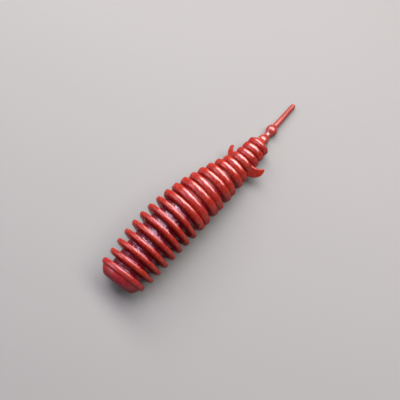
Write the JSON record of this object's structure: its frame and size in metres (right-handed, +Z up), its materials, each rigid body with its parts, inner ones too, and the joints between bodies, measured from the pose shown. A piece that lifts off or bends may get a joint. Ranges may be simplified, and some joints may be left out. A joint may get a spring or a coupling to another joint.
{
  "type": "soft plastic worm",
  "caption": "Soft plastic larva bait with a blunt nose, ribbed flexing body, two swept-back side hooks and a beaded tail.",
  "frame": {"origin": "bottom centre of the bounding box, on the surface the bait lies on", "axes": "+X from nose to tail, +Y to the bait's left, +Z up"},
  "size_m": [0.0626, 0.0128, 0.0124],
  "materials": {
    "rib_plastic": "satin, slightly translucent brick-red plastisol",
    "core_plastic": "glossy dark burgundy where the plastic is thick, mottled",
    "tail_plastic": "satin, lighter where the plastic is thin"
  },
  "bodies": {
    "segment_09": {"rib_09": "rib_plastic", "waist_09": "core_plastic", "waist_08": "core_plastic"},
    "segment_01": {"nose_cap": "rib_plastic", "rib_01": "rib_plastic"},
    "segment_02": {"rib_02": "rib_plastic", "waist_01": "core_plastic"},
    "segment_03": {"rib_03": "rib_plastic", "waist_02": "core_plastic"},
    "segment_04": {"rib_04": "rib_plastic", "waist_03": "core_plastic"},
    "segment_05": {"rib_05": "rib_plastic", "waist_04": "core_plastic"},
    "segment_06": {"rib_06": "rib_plastic", "waist_05": "core_plastic"},
    "segment_07": {"rib_07": "rib_plastic", "waist_06": "core_plastic"},
    "segment_08": {"rib_08": "rib_plastic", "waist_07": "core_plastic"},
    "segment_10": {"rib_10": "rib_plastic", "waist_10": "core_plastic"},
    "segment_11": {"rib_11": "rib_plastic", "waist_11": "core_plastic"},
    "segment_12": {"rib_12": "rib_plastic", "waist_12": "core_plastic"},
    "segment_13": {"rib_13": "rib_plastic", "waist_13": "core_plastic"},
    "segment_14": {"rib_14": "rib_plastic", "waist_14": "core_plastic"},
    "segment_15": {"rib_15": "rib_plastic", "waist_15": "core_plastic"},
    "segment_16": {"rib_16": "rib_plastic", "waist_16": "core_plastic"},
    "segment_17": {"rib_17": "rib_plastic", "waist_17": "core_plastic", "left_hook_root": "rib_plastic", "right_hook_root": "rib_plastic"},
    "segment_18": {"rib_18": "rib_plastic", "waist_18": "core_plastic"},
    "segment_19": {"rib_19": "rib_plastic", "waist_19": "core_plastic"},
    "segment_20": {"rib_20": "rib_plastic", "tail_neck_1": "tail_plastic"},
    "left_hook": {"left_hook": "rib_plastic"},
    "right_hook": {"right_hook": "rib_plastic"},
    "tail_bead_1": {"tail_bead_1": "tail_plastic", "tail_neck_2": "tail_plastic"},
    "tail_bead_2": {"tail_bead_2": "tail_plastic", "tail_rod_root": "tail_plastic"},
    "tail_rod_front": {"tail_rod_front": "tail_plastic", "tail_rod_middle": "tail_plastic"},
    "tail_rod_tip": {"tail_rod_tip": "tail_plastic"}
  },
  "joints": [
    {"name": "groove_08_sideways", "type": "hinge", "parent": "segment_09", "child": "segment_08", "pos_m": [-0.0105, 0.00007, 0.00603], "axis": [0.002, 0.002, -1], "range_deg": [-9, 9], "stiffness_Nm_per_rad": 0.007045, "deforming": ["waist_08"]},
    {"name": "groove_07_lift", "type": "hinge", "parent": "segment_08", "child": "segment_07", "pos_m": [-0.01285, 0.00015, 0.00619], "axis": [0.002, 1, 0.002], "range_deg": [0, 9], "stiffness_Nm_per_rad": 0.007045, "deforming": ["waist_07"]},
    {"name": "groove_06_sideways", "type": "hinge", "parent": "segment_07", "child": "segment_06", "pos_m": [-0.0153, 0.00015, 0.00622], "axis": [0.002, 0.002, -1], "range_deg": [-9, 9], "stiffness_Nm_per_rad": 0.007345, "deforming": ["waist_06"]},
    {"name": "groove_05_lift", "type": "hinge", "parent": "segment_06", "child": "segment_05", "pos_m": [-0.01772, 0.00012, 0.00622], "axis": [0.002, 1, 0.002], "range_deg": [0, 9], "stiffness_Nm_per_rad": 0.007301, "deforming": ["waist_05"]},
    {"name": "groove_04_sideways", "type": "hinge", "parent": "segment_05", "child": "segment_04", "pos_m": [-0.02011, 0.00003, 0.00618], "axis": [0.002, 0.002, -1], "range_deg": [-9, 9], "stiffness_Nm_per_rad": 0.006885, "deforming": ["waist_04"]},
    {"name": "groove_03_lift", "type": "hinge", "parent": "segment_04", "child": "segment_03", "pos_m": [-0.02248, -0.00012, 0.00608], "axis": [0.002, 1, 0.002], "range_deg": [0, 9], "stiffness_Nm_per_rad": 0.006248, "deforming": ["waist_03"]},
    {"name": "groove_02_sideways", "type": "hinge", "parent": "segment_03", "child": "segment_02", "pos_m": [-0.02486, -0.0003, 0.00591], "axis": [0.002, 0.002, -1], "range_deg": [-9, 9], "stiffness_Nm_per_rad": 0.005316, "deforming": ["waist_02"]},
    {"name": "groove_01_lift", "type": "hinge", "parent": "segment_02", "child": "segment_01", "pos_m": [-0.02724, -0.00049, 0.00567], "axis": [0.002, 1, 0.002], "range_deg": [0, 9], "stiffness_Nm_per_rad": 0.004356, "deforming": ["waist_01"]},
    {"name": "groove_09_lift", "type": "hinge", "parent": "segment_09", "child": "segment_10", "pos_m": [-0.00805, 0.00003, 0.0059], "axis": [0.002, -1, 0.002], "range_deg": [0, 2.5], "stiffness_Nm_per_rad": 0.008884, "deforming": ["waist_09"]},
    {"name": "groove_10_sideways", "type": "hinge", "parent": "segment_10", "child": "segment_11", "pos_m": [-0.0058, -0.00008, 0.00581], "axis": [0.002, 0.002, 1], "range_deg": [-4, 4], "stiffness_Nm_per_rad": 0.008975, "deforming": ["waist_10"]},
    {"name": "groove_11_lift", "type": "hinge", "parent": "segment_11", "child": "segment_12", "pos_m": [-0.0033, -0.00018, 0.00557], "axis": [0.002, -1, 0.002], "range_deg": [0, 2.5], "stiffness_Nm_per_rad": 0.007271, "deforming": ["waist_11"]},
    {"name": "groove_12_sideways", "type": "hinge", "parent": "segment_12", "child": "segment_13", "pos_m": [-0.00115, -0.00038, 0.00528], "axis": [0.002, 0.002, 1], "range_deg": [-4, 4], "stiffness_Nm_per_rad": 0.005629, "deforming": ["waist_12"]},
    {"name": "groove_13_lift", "type": "hinge", "parent": "segment_13", "child": "segment_14", "pos_m": [0.0013, -0.00053, 0.00494], "axis": [0.002, -1, 0.002], "range_deg": [0, 2.5], "stiffness_Nm_per_rad": 0.004187, "deforming": ["waist_13"]},
    {"name": "groove_14_sideways", "type": "hinge", "parent": "segment_14", "child": "segment_15", "pos_m": [0.00349, -0.00071, 0.00458], "axis": [0.002, 0.002, 1], "range_deg": [-4, 4], "stiffness_Nm_per_rad": 0.002866, "deforming": ["waist_14"]},
    {"name": "groove_15_lift", "type": "hinge", "parent": "segment_15", "child": "segment_16", "pos_m": [0.00585, -0.00085, 0.00415], "axis": [0.002, -1, 0.002], "range_deg": [0, 2.5], "stiffness_Nm_per_rad": 0.001803, "deforming": ["waist_15"]},
    {"name": "groove_16_sideways", "type": "hinge", "parent": "segment_16", "child": "segment_17", "pos_m": [0.00792, -0.001, 0.0037], "axis": [0.002, 0.002, 1], "range_deg": [-4, 4], "stiffness_Nm_per_rad": 0.001146, "deforming": ["waist_16"]},
    {"name": "groove_17_lift", "type": "hinge", "parent": "segment_17", "child": "segment_18", "pos_m": [0.01029, -0.00102, 0.00331], "axis": [0.002, -1, 0.002], "range_deg": [0, 2.5], "stiffness_Nm_per_rad": 0.000799, "deforming": ["waist_17"]},
    {"name": "groove_18_sideways", "type": "hinge", "parent": "segment_18", "child": "segment_19", "pos_m": [0.01244, -0.00095, 0.00303], "axis": [0.002, 0.002, 1], "range_deg": [-4, 4], "stiffness_Nm_per_rad": 0.000598, "deforming": ["waist_18"]},
    {"name": "groove_19_lift", "type": "hinge", "parent": "segment_19", "child": "segment_20", "pos_m": [0.01453, -0.00084, 0.00283], "axis": [0.002, -1, 0.002], "range_deg": [0, 2.5], "stiffness_Nm_per_rad": 0.000497, "deforming": ["waist_19"]},
    {"name": "tail_neck_1_lift", "type": "hinge", "parent": "segment_20", "child": "tail_bead_1", "pos_m": [0.01708, -0.00073, 0.00172], "axis": [0.002, -1, 0.002], "range_deg": [0, 15], "stiffness_Nm_per_rad": 0.00002, "deforming": ["tail_neck_1"]},
    {"name": "tail_neck_2_sideways", "type": "hinge", "parent": "tail_bead_1", "child": "tail_bead_2", "pos_m": [0.02008, -0.00051, 0.00135], "axis": [0.002, 0.002, 1], "range_deg": [-15, 15], "stiffness_Nm_per_rad": 0.00002, "deforming": ["tail_neck_2"]},
    {"name": "tail_rod_root_lift", "type": "hinge", "parent": "tail_bead_2", "child": "tail_rod_front", "pos_m": [0.02352, -0.00028, 0.00127], "axis": [0.002, -1, 0.002], "range_deg": [0, 15], "stiffness_Nm_per_rad": 0.00002, "deforming": ["tail_rod_root"]},
    {"name": "tail_rod_middle_sideways", "type": "hinge", "parent": "tail_rod_front", "child": "tail_rod_tip", "pos_m": [0.02713, -0.00002, 0.001], "axis": [0.002, 0.002, 1], "range_deg": [-15, 15], "stiffness_Nm_per_rad": 0.00002, "deforming": ["tail_rod_middle"]},
    {"name": "left_hook_flex", "type": "hinge", "parent": "segment_17", "child": "left_hook", "pos_m": [0.00941, 0.00242, 0.00336], "axis": [0.002, 0.002, 1], "range_deg": [-12, 25], "stiffness_Nm_per_rad": 0.00002, "deforming": ["left_hook_root"]},
    {"name": "right_hook_flex", "type": "hinge", "parent": "segment_17", "child": "right_hook", "pos_m": [0.00934, -0.00463, 0.00336], "axis": [0.002, 0.002, -1], "range_deg": [-12, 25], "stiffness_Nm_per_rad": 0.00002, "deforming": ["right_hook_root"]}
  ],
  "couplings": [
    {"joint": "groove_06_sideways", "follows": "groove_08_sideways", "ratio": 1},
    {"joint": "groove_05_lift", "follows": "groove_07_lift", "ratio": 1},
    {"joint": "groove_04_sideways", "follows": "groove_08_sideways", "ratio": 1},
    {"joint": "groove_03_lift", "follows": "groove_07_lift", "ratio": 1},
    {"joint": "groove_02_sideways", "follows": "groove_08_sideways", "ratio": 1},
    {"joint": "groove_01_lift", "follows": "groove_07_lift", "ratio": 1},
    {"joint": "groove_11_lift", "follows": "groove_09_lift", "ratio": 1},
    {"joint": "groove_12_sideways", "follows": "groove_10_sideways", "ratio": 1},
    {"joint": "groove_13_lift", "follows": "groove_09_lift", "ratio": 1},
    {"joint": "groove_14_sideways", "follows": "groove_10_sideways", "ratio": 1},
    {"joint": "groove_15_lift", "follows": "groove_09_lift", "ratio": 1},
    {"joint": "groove_16_sideways", "follows": "groove_10_sideways", "ratio": 1},
    {"joint": "groove_17_lift", "follows": "groove_09_lift", "ratio": 1},
    {"joint": "groove_18_sideways", "follows": "groove_10_sideways", "ratio": 1},
    {"joint": "groove_19_lift", "follows": "groove_09_lift", "ratio": 1},
    {"joint": "tail_rod_root_lift", "follows": "tail_neck_1_lift", "ratio": 1},
    {"joint": "tail_rod_middle_sideways", "follows": "tail_neck_2_sideways", "ratio": 1}
  ]
}
